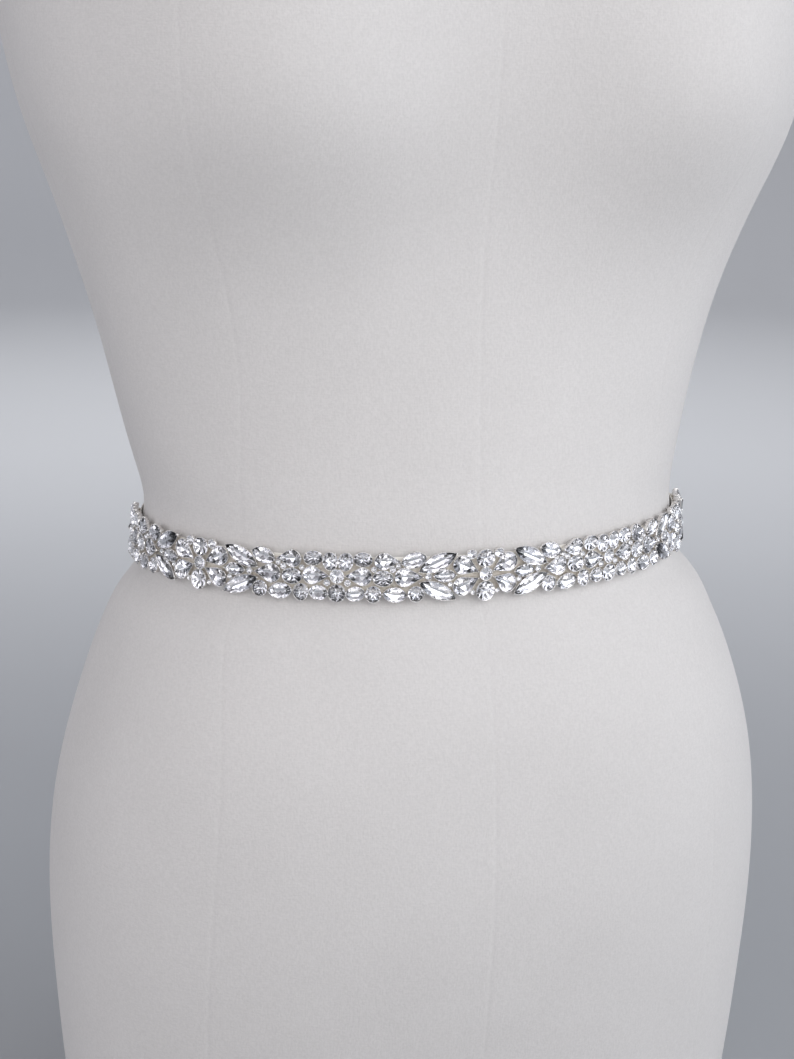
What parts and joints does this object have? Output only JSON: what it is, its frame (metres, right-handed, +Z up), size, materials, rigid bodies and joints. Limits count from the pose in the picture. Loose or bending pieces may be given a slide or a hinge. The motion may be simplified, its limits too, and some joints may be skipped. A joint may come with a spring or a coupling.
{
  "type": "bridal sash on dress form",
  "caption": "Narrow satin bridal sash with a crystal flower-and-leaf trim, hooked round the waist of a limbless tabletop dress form.",
  "frame": {"origin": "middle of the form's underside, on the surface that it stands on", "axes": "+Z up along the form, -Y the way its front and the middle of the sash face, +X to the form's left side as the wearer would have it"},
  "size_m": [0.3408, 0.2322, 0.78],
  "materials": {
    "satin": "double-faced polyester satin, ivory, soft sheen along the ribbon",
    "crystal": "clear foil-backed cut crystals in bright silver-plated settings, close set",
    "plated_steel": "bent sheet steel, bright nickel plate, smooth",
    "cover_cloth": "close plain-weave cover, off-white, matt, stretched over padding with sewn panel seams"
  },
  "bodies": {
    "root": {"satin_ribbon": "satin", "crystal_trim": "crystal", "closure_bar": "plated_steel", "closure_hook": "plated_steel", "dress_form": "cover_cloth"}
  },
  "joints": []
}
